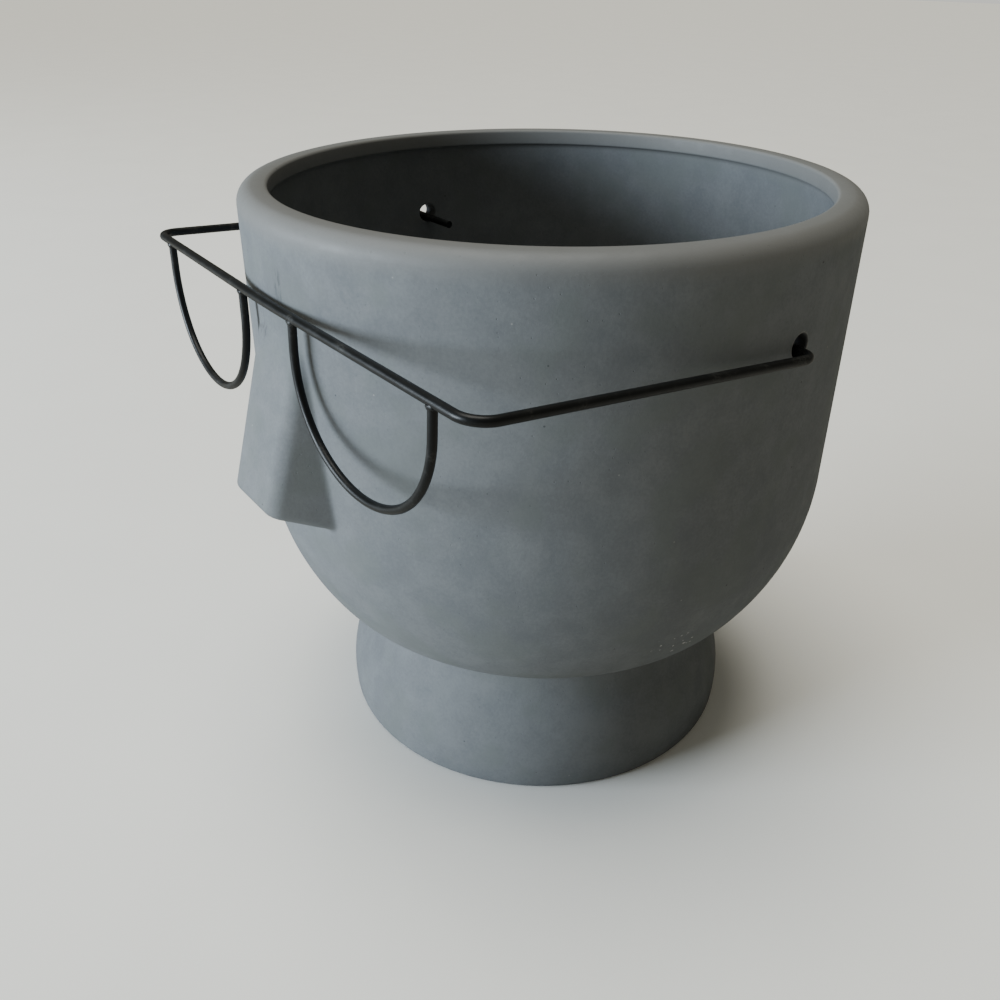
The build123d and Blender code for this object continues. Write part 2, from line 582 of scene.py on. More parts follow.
    def bar_marks(self, paint: Paint) -> Socket:
        """Makes the dark marks that the brow bar has rubbed beside the nose.

        Args:
            paint: The material that is being built.

        Returns:
            How dark the mark is.
        """
        streaks = paint.noise(self.streaks, paint.stretched(self.streak_stretch))
        front = paint.fade(paint.axes.outputs[1], self.mark_y_band, 1.0, 0.0)
        patches = paint.math(
            "MAXIMUM", paint.patch(self.mark_below_bar), paint.patch(self.mark_above_bar)
        )
        place = paint.times(patches, front)
        return paint.times(paint.steps(streaks, *self.streak_band), place, self.mark_strength)

    def scrapes(self, paint: Paint) -> Socket:
        """Makes the pale scrapes low on the bowl, where it has rubbed on a shelf.

        Args:
            paint: The material that is being built.

        Returns:
            How pale the scrape is.
        """
        flecks = paint.math(
            "MAXIMUM", paint.dots(self.large_flecks), paint.dots(self.small_flecks)
        )
        rub = paint.times(flecks, paint.steps(paint.noise(self.scuffs), *self.scuff_band))
        near = paint.fade(paint.gap(1, self.scrape_y), self.scrape_y_band, 1.0, 0.0)
        return paint.times(rub, paint.patch(self.scrape), near, self.scrape_strength)


@dataclass(frozen=True)
class WireFinish:
    """Satin black paint on steel wire, thin and greyed where it has been handled."""

    name: str
    black: Colour = (0.004, 0.0048, 0.0052)
    worn: Colour = (0.055, 0.055, 0.050)
    patches: Grain = Grain(6.0, 3.0, 0.6)
    patch_band: Band = (0.52, 0.74)
    dust: Grain = Grain(0.5, 2.0, 0.6)
    dust_band: Band = (0.4, 0.6)
    wear_strength: float = 0.55
    satin_band: Band = (0.3, 0.7)
    satin_roughness: Band = (0.33, 0.46)
    shine: float = 0.27
    coat: Grain = Grain(2.2)
    coat_depth: float = 0.03
    dust_depth: float = 0.012

    def material(self) -> bpy.types.Material:
        """Builds the material.

        Returns:
            The material.
        """
        paint = Paint(self.name)
        patches, dust = paint.noise(self.patches), paint.noise(self.dust)
        wear = paint.times(
            paint.steps(patches, *self.patch_band),
            paint.steps(dust, *self.dust_band),
            self.wear_strength,
        )
        roughness = paint.steps(patches, *self.satin_band, *self.satin_roughness)
        paint.dress(paint.blend(wear, self.black, self.worn), roughness, self.shine)
        paint.relief((paint.noise(self.coat), self.coat_depth), (dust, self.dust_depth))
        return paint.material


@dataclass(frozen=True)
class RubberFinish:
    """Matte black moulded rubber with a little dust on it."""

    black: Colour = (0.018, 0.018, 0.019)
    dust: Colour = (0.07, 0.066, 0.06)
    dust_grain: Grain = Grain(2.5, 4.0, 0.7)
    dust_band: Band = (0.5, 0.75)
    dust_strength: float = 0.5
    roughness: Band = (0.55, 0.8)
    shine: float = 0.3
    skin: Grain = Grain(0.35, 1.0)
    skin_depth: float = 0.01

    def material(self) -> bpy.types.Material:
        """Builds the material.

        Returns:
            The material.
        """
        paint = Paint("plug_rubber")
        cover = paint.steps(paint.noise(self.dust_grain), *self.dust_band, 0.0, self.dust_strength)
        roughness = paint.steps(cover, 0.0, self.dust_strength, *self.roughness)
        paint.dress(paint.blend(cover, self.black, self.dust), roughness, self.shine)
        paint.relief((paint.noise(self.skin), self.skin_depth))
        return paint.material


# Mesh helpers


def mesh_object(
    name: str,
    points: Sequence[Sequence[float]],
    faces: Sequence[Sequence[int]],
    material: bpy.types.Material,
) -> bpy.types.Object:
    """Makes a smooth object at the origin.

    Args:
        name: The piece's name.
        points: Its corners in millimetres.
        faces: The corners of each face, seen anticlockwise from outside.
        material: Its material.

    Returns:
        The new object.
    """
    mesh = bpy.data.meshes.new(name)
    mesh.from_pydata([[value * MM for value in point] for point in points], [], faces)
    mesh.validate()
    mesh.shade_smooth()
    mesh.materials.append(material)
    piece = bpy.data.objects.new(name, mesh)
    bpy.context.scene.collection.objects.link(piece)
    return piece


def arc(centre: Point2, radius: float, start: float, end: float, count: int) -> list[Point2]:
    """Points on an arc in the section plane.

    Args:
        centre: The arc's centre, as radius and height.
        radius: The arc's radius.
        start: The first angle in degrees, from the outward direction towards up.
        end: The last angle.
        count: How many steps the arc has.

    Returns:
        The points, both ends included.
    """
    spots = []
    for step in range(count + 1):
        turn = math.radians(start + (end - start) * step / count)
        spots.append((centre[0] + radius * math.cos(turn), centre[1] + radius * math.sin(turn)))
    return spots


def bearing(centre: Point2, spot: Point2) -> float:
    """The direction from a centre to a spot, in degrees as in arc."""
    return math.degrees(math.atan2(spot[1] - centre[1], spot[0] - centre[0]))


def meeting(one: Point2, one_radius: float, two: Point2, two_radius: float) -> Point2:
    """The point where two circles meet.

    Args:
        one: The first circle's centre.
        one_radius: Its radius.
        two: The second circle's centre.
        two_radius: Its radius.

    Returns:
        The meeting point on the left of the way from the first centre to the second.
    """
    gap = math.dist(one, two)
    along = (one_radius**2 - two_radius**2 + gap**2) / (2 * gap)
    aside = math.sqrt(one_radius**2 - along**2)
    ahead_x, ahead_z = (two[0] - one[0]) / gap, (two[1] - one[1]) / gap
    return (
        one[0] + ahead_x * along - ahead_z * aside,
        one[1] + ahead_z * along + ahead_x * aside,
    )


def stepped(start: float, stops: Sequence[tuple[float, float]]) -> list[float]:
    """Places from start through every stop.

    Args:
        start: The first place.
        stops: For each stop, its place and the rough step on the way to it.

    Returns:
        The places, start and all stops included.
    """
    places = [start]
    for stop, step in stops:
        last = places[-1]
        count = max(1, round(abs(stop - last) / step))
        places += [last + (stop - last) * index / count for index in range(1, count)] + [stop]
    return places


def rolled(first: float, second: float, cosine: float, radius: float) -> tuple[float, float, float]:
    """The larger of two distances, with the edge between their faces rolled over by a ball.

    Args:
        first: The distance outside the first face.
        second: The distance outside the second face.
        cosine: The cosine of the angle between the faces' normals.
        radius: The ball's radius.

    Returns:
        The distance outside both faces, and the shares of the two normals in its slope.
    """
    one, two = first + radius, second + radius
    lean_one, lean_two = one - cosine * two, two - cosine * one
    if lean_one > 0 and lean_two > 0 and cosine < NEARLY_PARALLEL:
        spare = 1 - cosine * cosine
        away = math.sqrt((one * one + two * two - 2 * cosine * one * two) / spare)
        return away - radius, lean_one / (spare * away), lean_two / (spare * away)
    if one > two:
        return first, 1.0, 0.0
    return second, 0.0, 1.0


# The pot


@dataclass
class Nose:
    """A wedge nose that leans back into the brow, or the hollow behind it.

    Lengths are in millimetres and angles in degrees. The search values say how far from the
    pot's own wall the nose's wall is looked for, and how finely. A nose that comes no more
    than touch out of the wall is left out.
    """

    front: float = 92.0
    foot: float = 91.1
    lift: float = 0.0
    half_width: float = 10.7
    lean: float = 16.0
    spread: float = 1.0
    flare: float = 28.5
    slope: float = 17.6
    edge_round: float = 5.4
    tip_round: float = 2.0
    root_round: float = 1.5
    hollow_edge_round: float = 1.6
    hollow_tip_round: float = 1.4
    hollow_root_round: float = 2.2
    search_in: float = 0.5
    search_out: float = 20.0
    search_halvings: int = 26
    touch: float = 1e-6

    def __post_init__(self) -> None:
        """Works out the planes' normals, as across, forwards and up."""
        lean, flare = math.radians(self.lean), math.radians(self.flare)
        self.front_normal = Vector((0.0, math.cos(lean), math.sin(lean)))
        climb = math.tan(lean) * math.tan(flare) - math.tan(math.radians(self.spread))
        self.side_normal = Vector((1.0, math.tan(flare), climb)).normalized()
        slope = math.radians(self.slope)
        self.under_normal = Vector((0.0, math.sin(slope), -math.cos(slope)))
        self.edge_cosine = self.front_normal.dot(self.side_normal)

    def inside(self, wall: float) -> Nose:
        """Makes the hollow behind the nose.

        Args:
            wall: The thickness that it leaves.

        Returns:
            The hollow, as a smaller nose.
        """
        flare = math.radians(self.flare)
        return Nose(
            front=self.front - wall / math.cos(math.radians(self.lean)),
            foot=self.foot,
            lift=wall,
            half_width=self.half_width - wall * (1 - math.sin(flare)) / math.cos(flare),
            edge_round=self.hollow_edge_round,
            tip_round=self.hollow_tip_round,
            root_round=self.hollow_root_round,
        )

    def outside(self, across: float, ahead: float, height: float, body: float) -> float:
        """How far a point lies outside the pot's wall with the nose on it.

        Args:
            across: The point's distance from the middle of the face.
            ahead: Its distance in front of the pot's axis.
            height: Its height.
            body: The wall's own radius at that height.

        Returns:
            The distance, negative inside.
        """
        spot = Vector((across, ahead - self.front, height - self.foot))
        front = self.front_normal.dot(spot)
        side = self.side_normal.dot(spot - Vector((self.half_width, 0.0, 0.0)))
        prism, of_front, of_side = rolled(front, side, self.edge_cosine, self.edge_round)
        normal = (self.front_normal * of_front + self.side_normal * of_side).normalized()
        under = self.under_normal.dot(spot - Vector((0.0, 0.0, self.lift)))
        wedge, of_prism, of_under = rolled(
            prism, under, normal.dot(self.under_normal), self.tip_round
        )
        normal = (normal * of_prism + self.under_normal * of_under).normalized()
        radius = math.hypot(across, ahead)
        radial = Vector((across / radius, ahead / radius, 0.0))
        hollow, _, _ = rolled(body - radius, -wedge, radial.dot(normal), self.root_round)
        return -hollow

    def reach(self, turn: float, height: float, body: float) -> float:
        """Finds the radius of the wall with the nose on it.

        Args:
            turn: The direction in radians from the face.
            height: The height.
            body: The wall's own radius at that height.

        Returns:
            The radius in that direction.
        """
        across, ahead = abs(math.sin(turn)), math.cos(turn)
        if self.outside(across * body, ahead * body, height, body) >= -self.touch:
            return body
        low, high = body - self.search_in, body + self.search_out
        for _ in range(self.search_halvings):
            middle = (low + high) / 2
            if self.outside(across * middle, ahead * middle, height, body) < 0:
                low = middle
            else:
                high = middle
        return (low + high) / 2


@dataclass
class HeadPot:
    """The slip-cast head: bowl, wedge nose and hollow foot in one even wall.

    Lengths are in millimetres and turns in degrees. The window is the part of the mesh that
    a hook hole takes out of each wall, as directions from the face and as heights. Names
    that end in row or column are the rough steps between the mesh's rows or columns there.
    Each sway is a noise's scale and share, and the wall sways only above true_height and
    more than true_drain from the drain hole.
    """

    finish: StonewareFinish
    hole: HookHole
    height: float = 160.0
    radius: float = 80.2
    wall: float = 6.0
    rim_round: float = 4.0
    lip_overhang: float = 1.8
    lip_depth: float = 4.2
    lip_round: float = 0.8
    lip_straight: float = 0.4
    belly: float = 86.0
    side_arc: float = 64.0
    side_turn: float = 36.0
    hip_arc: float = 27.0
    foot_radius: float = 60.4
    foot_bulge: float = 38.0
    bulge_z: float = 6.0
    bulge_turn: float = 29.0
    foot_waist: float = 26.0
    ground_round: float = 1.4
    waist_round: float = 1.2
    hollow_round: float = 4.0
    edge_soft: float = 0.5
    drain_radius: float = 7.0
    floor_rings: tuple[float, ...] = (36.0, 24.0, 13.0)
    under_rings: tuple[float, ...] = (13.0, 26.0)
    nose: Nose = field(default_factory=Nose)
    nose_sector: float = 24.0
    nose_sink: float = 2.0
    nose_foot_top: float = 94.0
    nose_foot_row: float = 0.36
    hollow_foot_low: float = 91.0
    hollow_foot_top: float = 101.0
    hollow_foot_row: float = 0.5
    hollow_row: float = 1.4
    belly_row: float = 1.7
    face_row: float = 1.0
    brow_row: float = 3.0
    nose_turn: float = 15.4
    nose_column: float = 0.28
    cheek_turn: float = 24.4
    cheek_column: float = 1.0
    temple_column: float = 2.6
    hook_column: float = 0.75
    back_column: float = 2.7
    window_low: float = 91.4
    window_high: float = 100.4
    window_bottom: float = 129.0
    window_top: float = 141.0
    ring_shares: tuple[float, ...] = (0.72, 0.48, 0.29, 0.15, 0.05, 0.0)
    ring_round_steps: int = 5
    unevenness: float = 0.1
    sways: tuple[tuple[float, float], ...] = ((0.022, 0.7), (0.07, 0.3))
    true_height: float = 3.0
    true_drain: float = 8.0

    def __post_init__(self) -> None:
        """Works out the centres that the section is drawn round."""
        self.side_centre = (self.radius - self.side_arc, self.belly)
        turn = math.radians(self.side_turn)
        reach = self.side_arc - self.hip_arc
        self.hip_centre = (
            self.side_centre[0] + reach * math.cos(turn),
            self.side_centre[1] - reach * math.sin(turn),
        )
        self.bulge_centre = (self.foot_radius - self.foot_bulge, self.bulge_z)
        turn = math.radians(self.bulge_turn)
        reach = self.foot_bulge + self.foot_waist
        self.waist_centre = (
            self.bulge_centre[0] + reach * math.cos(turn),
            self.bulge_centre[1] + reach * math.sin(turn),
        )
        self.floor_under = self.hip_centre[1] - self.hip_arc
        self.floor_top = self.floor_under + self.wall
        self.inner = self.radius - self.wall
        self.mouth = self.inner - self.lip_overhang
        self.hollow_nose = self.nose.inside(self.wall)
        self.points: list[Vector] = []
        self.faces: list[list[int]] = []

    def foot_rows(self) -> list[Point2]:
        """The foot's outside and the bowl's hip: a bulge, a waist and a softened crease.

        Returns:
            The rows from the ground upwards.
        """
        soft, bulge, waist = self.ground_round, self.bulge_centre, self.waist_centre
        drop = soft - self.bulge_z
        low = (bulge[0] + math.sqrt((self.foot_bulge - soft) ** 2 - drop**2), soft)
        low_turn = bearing(bulge, low)
        crease = meeting(
            waist,
            self.foot_waist - self.waist_round,
            self.hip_centre,
            self.hip_arc + self.waist_round,
        )
        top_turn, hip_turn = bearing(waist, crease), bearing(self.hip_centre, crease)
        rows = arc(low, soft, -90, low_turn, 5)
        rows += arc(bulge, self.foot_bulge, low_turn, self.bulge_turn, 22)[1:]
        rows += arc(waist, self.foot_waist, 180 + self.bulge_turn, top_turn, 12)[1:]
        rows += arc(crease, self.waist_round, top_turn, 180 + hip_turn, 6)[1:]
        rows += arc(self.hip_centre, self.hip_arc, hip_turn, -self.side_turn, 14)[1:]
        return rows

    def mouth_rows(self) -> list[Point2]:
        """The rounded rim, the lip that stands inwards and the cove under it.

        Returns:
            The rows from the outside over the rim to the inner wall.
        """
        shoulder = (self.radius - self.rim_round, self.height - self.rim_round)
        lip = (self.mouth + self.lip_round, self.height - self.lip_round)
        lip_bottom = self.height - self.lip_depth
        rows = arc(shoulder, self.rim_round, 0, 90, 9)[1:]
        rows += [(lip[0], self.height)]
        rows += arc(lip, self.lip_round, 90, 180, 4)[1:]
        rows += [(self.mouth, lip_bottom + self.lip_straight)]
        rows += arc((self.mouth, lip_bottom - self.lip_overhang), self.lip_overhang, 90, 0, 6)
        return rows

    def floor_rows(self) -> list[Point2]:
        """The bowl's floor and the soft-edged drain hole through it.

        Returns:
            The rows from the floor's outer part through the hole to its underside.
        """
        soft = self.edge_soft
        drain_edge = self.drain_radius + soft
        rows = [(radius, self.floor_top) for radius in self.floor_rings]
        rows += arc((drain_edge, self.floor_top - soft), soft, 90, 180, 3)
        rows += arc((drain_edge, self.floor_under + soft), soft, 180, 270, 3)
        rows += [(radius, self.floor_under) for radius in self.under_rings]
        return rows

    def hollow_rows(self) -> list[Point2]:
        """The hollow in the foot, one wall inside its bulge and its waist.

        Returns:
            The rows from the hollow's upper corner down to the ground.
        """
        soft, bulge, waist = self.edge_soft, self.bulge_centre, self.waist_centre
        inner_waist, inner_bulge = self.foot_waist + self.wall, self.foot_bulge - self.wall
        corner_z = self.floor_under - self.hollow_round
        rise = waist[1] - corner_z
        reach = math.sqrt((inner_waist + self.hollow_round) ** 2 - rise**2)
        corner = (waist[0] - reach, corner_z)
        side_turn = bearing(corner, waist)
        edge = bulge[0] + math.sqrt(inner_bulge**2 - (soft - bulge[1]) ** 2)
        low_turn = bearing(bulge, (edge, soft))
        rows = arc(corner, self.hollow_round, 90, side_turn, 6)
        rows += arc(waist, inner_waist, 180 + side_turn, 180 + self.bulge_turn, 8)[1:]
        rows += arc(bulge, inner_bulge, self.bulge_turn, low_turn, 12)[1:-1]
        rows += arc((edge + soft, soft), soft, 180, 270, 3)
        return rows

    def outer_heights(self) -> list[float]:
        """The heights of the rows on the upright outer wall, fine at the nose's foot.

        Returns:
            The heights, upwards.
        """
        shoulder = self.height - self.rim_round
        stops = (
            (self.nose_foot_top, self.nose_foot_row),
            (self.window_bottom, self.face_row),
            (self.window_top, self.face_row),
            (shoulder, self.brow_row),
        )
        return stepped(self.belly, stops)[1:]

    def inner_heights(self) -> list[float]:
        """The heights of the rows on the upright inner wall, fine in the nose's hollow.

        Returns:
            The heights, downwards.
        """
        cove_z = self.height - self.lip_depth - self.lip_overhang
        stops = (
            (self.window_top, self.brow_row),
            (self.window_bottom, self.face_row),
            (self.hollow_foot_top, self.hollow_row),
            (self.hollow_foot_low, self.hollow_foot_row),
            (self.belly, self.belly_row),
        )
        return stepped(cove_z, stops)[1:]

    def section(self) -> list[Row]:
        """The wall's whole section as a closed loop of rows.

        Returns:
            Radius, height and wall of each row, up the outside and down the inside.
        """
        side, hip, turn = self.side_centre, self.hip_centre, self.side_turn
        inner_arc, inner_hip = self.side_arc - self.wall, self.hip_arc - self.wall
        runs = (
            (Wall.PLAIN, self.foot_rows()),
            (Wall.PLAIN, arc(side, self.side_arc, -turn, -self.nose_sink, 18)[1:]),
            (Wall.OUTER, arc(side, self.side_arc, -self.nose_sink, 0, 7)[1:]),
            (Wall.OUTER, [(self.radius, height) for height in self.outer_heights()]),
            (Wall.PLAIN, self.mouth_rows()),
            (Wall.INNER, [(self.inner, height) for height in self.inner_heights()]),
            (Wall.PLAIN, arc(side, inner_arc, 0, -turn, 14)[1:]),
            (Wall.PLAIN, arc(hip, inner_hip, -turn, -90, 12)[1:]),
            (Wall.PLAIN, self.floor_rows()),
            (Wall.PLAIN, self.hollow_rows()),
        )
        return [(radius, height, wall) for wall, rows in runs for radius, height in rows]

    def columns(self) -> list[float]:
        """The directions of the mesh's columns, fine over the nose and at the hook holes.

        Returns:
            The directions in degrees from the face towards +X.
        """
        stops = (
            (self.nose_turn, self.nose_column),
            (self.cheek_turn, self.cheek_column),
            (self.window_low, self.temple_column),
            (self.window_high, self.hook_column),
            (180.0, self.back_column),
        )
        half = stepped(0.0, stops)
        return half + [360 - turn for turn in reversed(half[1:-1])]

    def spot(self, radius: float, height: float, wall: Wall, turn: float) -> Vector:
        """The place of one corner of the mesh.

        Args:
            radius: The section's radius there.
            height: Its height.
            wall: The wall that it lies on.
            turn: The direction in radians from the face towards +X.

        Returns:
            The place in millimetres.
        """
        bend = math.remainder(turn, math.tau)
        if abs(bend) < math.radians(self.nose_sector):
            if wall is Wall.OUTER:
                radius = self.nose.reach(bend, height, radius)
            elif wall is Wall.INNER:
                radius = self.hollow_nose.reach(bend, height, radius)
        place = Vector((radius * math.sin(turn), -radius * math.cos(turn), height))
        free = height > self.true_height and radius > self.drain_radius + self.true_drain
        if wall is Wall.OUTER or free:
            sway = sum(soft_noise.noise(place * scale) * share for scale, share in self.sways)
            dent = self.unevenness * (0.5 + 0.5 * sway)
            share = (radius - dent) / radius
            place.x *= share
            place.y *= share
        return place

    def hole_rings(self, side: Side, wall: Wall, loop: list[int]) -> list[int]:
        """Closes one window of the wall with rings that lead to a round hole.

        Args:
            side: The side of the head.
            wall: The wall that the window is in.
            loop: The window's corners in order, seen anticlockwise from outside the wall.

        Returns:
            The corners of the last ring, where the bore starts.
        """
        radius = self.radius if wall is Wall.OUTER else self.inner
        inwards = -side.value if wall is Wall.OUTER else side.value
        corners = [self.points[index] for index in loop]
        offsets = [(corner.y - self.hole.y, corner.z - self.hole.z) for corner in corners]

        def ring(edge: float, share: float, sunk: float) -> list[int]:
            """Adds the corners of one ring.

            Args:
                edge: The radius that the ring has where its share is 0.
                share: How far it lies on the way from there out to the window.
                sunk: How deep it lies under the wall's surface.

            Returns:
                The ring's corners.
            """
            start = len(self.points)
            for across, up in offsets:
                away = math.hypot(across, up)
                reach = edge + (away - edge) * share
                y, z = self.hole.y + across / away * reach, self.hole.z + up / away * reach
                turn = math.atan2(side.value * math.sqrt(radius**2 - y * y), -y)
                place = self.spot(radius, z, Wall.PLAIN, turn)
                place.x += inwards * sunk
                self.points.append(place)
            return list(range(start, len(self.points)))

        soft = self.hole.edge_round
        rim = self.hole.radius + soft
        rings = [loop] + [ring(rim, share, 0.0) for share in self.ring_shares]
        for step in range(1, self.ring_round_steps + 1):
            turn = math.radians(90 * step / self.ring_round_steps)
            rings.append(ring(rim - soft * math.sin(turn), 0.0, soft * (1 - math.cos(turn))))
        self.join(rings)
        return rings[-1]

    def join(self, rings: list[list[int]]) -> None:
        """Adds the faces between rings that have the same number of corners.

        Args:
            rings: The rings, each as its corners in order.
        """
        for outer, inner in zip(rings, rings[1:]):
            count = len(outer)
            for index in range(count):
                after = (index + 1) % count
                self.faces.append([outer[index], outer[after], inner[after], inner[index]])

    def window(
        self, side: Side, wall: Wall, rows: Sequence[Row], turns: Sequence[float]
    ) -> tuple[set[tuple[int, int]], list[int]]:
        """Finds the faces that a hook hole takes out of the grid.

        Args:
            side: The side of the head.
            wall: The wall that the window is in.
            rows: The section's rows.
            turns: The columns' directions.

        Returns:
            The faces as column and row, and the corners round them.
        """
        low, high = self.window_low, self.window_high
        if side is Side.RIGHT:
            low, high = 360 - high, 360 - low
        bottom, top = self.window_bottom - HAIR, self.window_top + HAIR
        picked = [i for i, turn in enumerate(turns) if low - HAIR <= turn <= high + HAIR]
        levels = [j for j, row in enumerate(rows) if row[2] is wall and bottom <= row[1] <= top]
        cells = {(i, j) for i in picked[:-1] for j in levels[:-1]}
        count = len(rows)
        loop = [i * count + levels[0] for i in picked[:-1]]
        loop += [picked[-1] * count + j for j in levels[:-1]]
        loop += [i * count + levels[-1] for i in reversed(picked[1:])]
        loop += [picked[0] * count + j for j in reversed(levels[1:])]
        return cells, loop

    def build(self) -> bpy.types.Object:
        """Builds the pot.

        Returns:
            The pot as one object.
        """
        rows = self.section()
        turns = self.columns()
        for turn in turns:
            for radius, height, wall in rows:
                self.points.append(self.spot(radius, height, wall, math.radians(turn)))
        windows = {
            (side, wall): self.window(side, wall, rows, turns)
            for side in Side
            for wall in (Wall.OUTER, Wall.INNER)
        }
        gone = set().union(*(cells for cells, _ in windows.values()))
        across, up = len(turns), len(rows)
        for i in range(across):
            after = (i + 1) % across
            for j in range(up):
                if (i, j) not in gone:
                    above = (j + 1) % up
                    self.faces.append(
                        [i * up + j, after * up + j, after * up + above, i * up + above]
                    )
        for side in Side:
            outer = self.hole_rings(side, Wall.OUTER, windows[side, Wall.OUTER][1])
            inner = self.hole_rings(side, Wall.INNER, windows[side, Wall.INNER][1])
            self.bore(outer, inner)
        return mesh_object("stoneware_head", self.points, self.faces, self.finish.material())

    def bore(self, outer: list[int], inner: list[int]) -> None:
        """Joins the two ends of a hook hole, which run in opposite directions.

        Args:
            outer: The last ring of the outer wall.
            inner: The last ring of the inner wall.
        """
        backwards = list(reversed(inner))
        start = min(
            range(len(backwards)),
            key=lambda index: (self.points[backwards[index]] - self.points[outer[0]]).yz.length,
        )
        self.join([outer, backwards[start:] + backwards[:start]])


# The glasses


class GrownTree(Graph):
    """Geometry nodes that grow a piece from a few points, with named inputs for its sizes."""

    def __init__(self, name: str, inputs: Sequence[tuple[str, str]]) -> None:
        """Starts the tree with its inputs and its output.

        Args:
            name: The tree's name.
            inputs: The name and the socket type of each input after the points.
        """
        super().__init__(bpy.data.node_groups.new(name, "GeometryNodeTree"))
        sockets = self.tree.interface
        sockets.new_socket("Geometry", in_out="INPUT", socket_type="NodeSocketGeometry")
        self.sockets = {
            label: sockets.new_socket(label, in_out="INPUT", socket_type=kind).identifier
            for label, kind in inputs
        }
        sockets.new_socket("Geometry", in_out="OUTPUT", socket_type="NodeSocketGeometry")
        self.given = self.node("NodeGroupInput").outputs

    def end_with(self, geometry: Socket) -> None:
        """Gives the grown geometry its material and makes it the tree's result.

        Args:
            geometry: The geometry, with its instances made real.
        """
        dressed = self.node("GeometryNodeSetMaterial")
        self.feed(dressed.inputs["Geometry"], geometry)
        self.feed(dressed.inputs["Material"], self.given["Material"])
        self.feed(self.node("NodeGroupOutput").inputs[0], dressed.outputs[0])


class WireTree(GrownTree):
    """Geometry nodes that bend a round wire along a path of straight runs.

    Every corner of the path carries its own bend radius in the attribute bend.
    """

    tip_share: float = 0.72

    def __init__(self) -> None:
        """Builds the tree."""
        super().__init__(
            "bent_wire",
            (
                ("Wire Radius", "NodeSocketFloat"),
                ("Tip Length", "NodeSocketFloat"),
                ("Bend Steps", "NodeSocketInt"),
                ("Sides", "NodeSocketInt"),
                ("Material", "NodeSocketMaterial"),
            ),
        )
        path = self.node("GeometryNodeMeshToCurve")
        self.feed(path.inputs["Mesh"], self.given["Geometry"])
        bend = self.node("GeometryNodeInputNamedAttribute", data_type="FLOAT")
        bend.inputs["Name"].default_value = "bend"
        rounded = self.node("GeometryNodeFilletCurve", mode="POLY")
        self.feed(rounded.inputs["Curve"], path.outputs[0])
        self.feed(rounded.inputs["Count"], self.given["Bend Steps"])
        self.feed(rounded.inputs["Radius"], bend.outputs[0])
        along = self.node("GeometryNodeSplineParameter")
        whole = self.node("GeometryNodeSplineLength")
        to_end = self.math("SUBTRACT", whole.outputs["Length"], along.outputs["Length"])
        nearest = self.math("MINIMUM", along.outputs["Length"], to_end)
        share = self.steps(nearest, 0.0, self.given["Tip Length"], self.tip_share, 1.0)
        sized = self.node("GeometryNodeSetCurveRadius")
        self.feed(sized.inputs["Curve"], rounded.outputs[0])
        self.feed(sized.inputs["Radius"], share)
        ring = self.node("GeometryNodeCurvePrimitiveCircle")
        self.feed(ring.inputs["Resolution"], self.given["Sides"])
        self.feed(ring.inputs["Radius"], self.given["Wire Radius"])
        tube = self.node("GeometryNodeCurveToMesh")
        self.feed(tube.inputs["Curve"], sized.outputs[0])
        self.feed(tube.inputs["Profile Curve"], ring.outputs[0])
        tube.inputs["Fill Caps"].default_value = True
        real = self.node("GeometryNodeRealizeInstances")
        self.feed(real.inputs[0], tube.outputs[0])
        self.end_with(real.outputs[0])


class BeadTree(GrownTree):
    """Geometry nodes that put an uneven drop of weld on every point."""

    drop_levels: int = 4
    lumps_per_metre: float = 700.0
    lump_layers: float = 1.0
    lump_middle: float = 0.62

    def __init__(self) -> None:
        """Builds the tree."""
        super().__init__(
            "weld_drops",
            (
                ("Drop Radius", "NodeSocketFloat"),
                ("Stretch", "NodeSocketVector"),
                ("Unevenness", "NodeSocketFloat"),
                ("Seed", "NodeSocketFloat"),
                ("Material", "NodeSocketMaterial"),
            ),
        )
        drop = self.node("GeometryNodeMeshIcoSphere")
        self.feed(drop.inputs["Radius"], self.given["Drop Radius"])
        drop.inputs["Subdivisions"].default_value = self.drop_levels
        laid = self.node("GeometryNodeInstanceOnPoints")
        self.feed(laid.inputs["Points"], self.given["Geometry"])
        self.feed(laid.inputs["Instance"], drop.outputs["Mesh"])
        self.feed(laid.inputs["Scale"], self.given["Stretch"])
        real = self.node("GeometryNodeRealizeInstances")
        self.feed(real.inputs[0], laid.outputs[0])
        lumps = self.node("ShaderNodeTexNoise", noise_dimensions="4D")
        lumps.inputs["Scale"].default_value = self.lumps_per_metre
        lumps.inputs["Detail"].default_value = self.lump_layers
        self.feed(lumps.inputs["W"], self.given["Seed"])
        height = self.math("SUBTRACT", lumps.outputs[0], self.lump_middle)
        push = self.times(height, self.given["Unevenness"])
        shift = self.node("ShaderNodeVectorMath", operation="SCALE")
        self.feed(shift.inputs[0], self.node("GeometryNodeInputNormal").outputs[0])
        self.feed(shift.inputs["Scale"], push)
        moved = self.node("GeometryNodeSetPosition")
        self.feed(moved.inputs["Geometry"], real.outputs[0])
        self.feed(moved.inputs["Offset"], shift.outputs[0])
        smooth = self.node("GeometryNodeSetShadeSmooth")
        self.feed(smooth.inputs["Geometry"], moved.outputs[0])
        self.end_with(smooth.outputs[0])


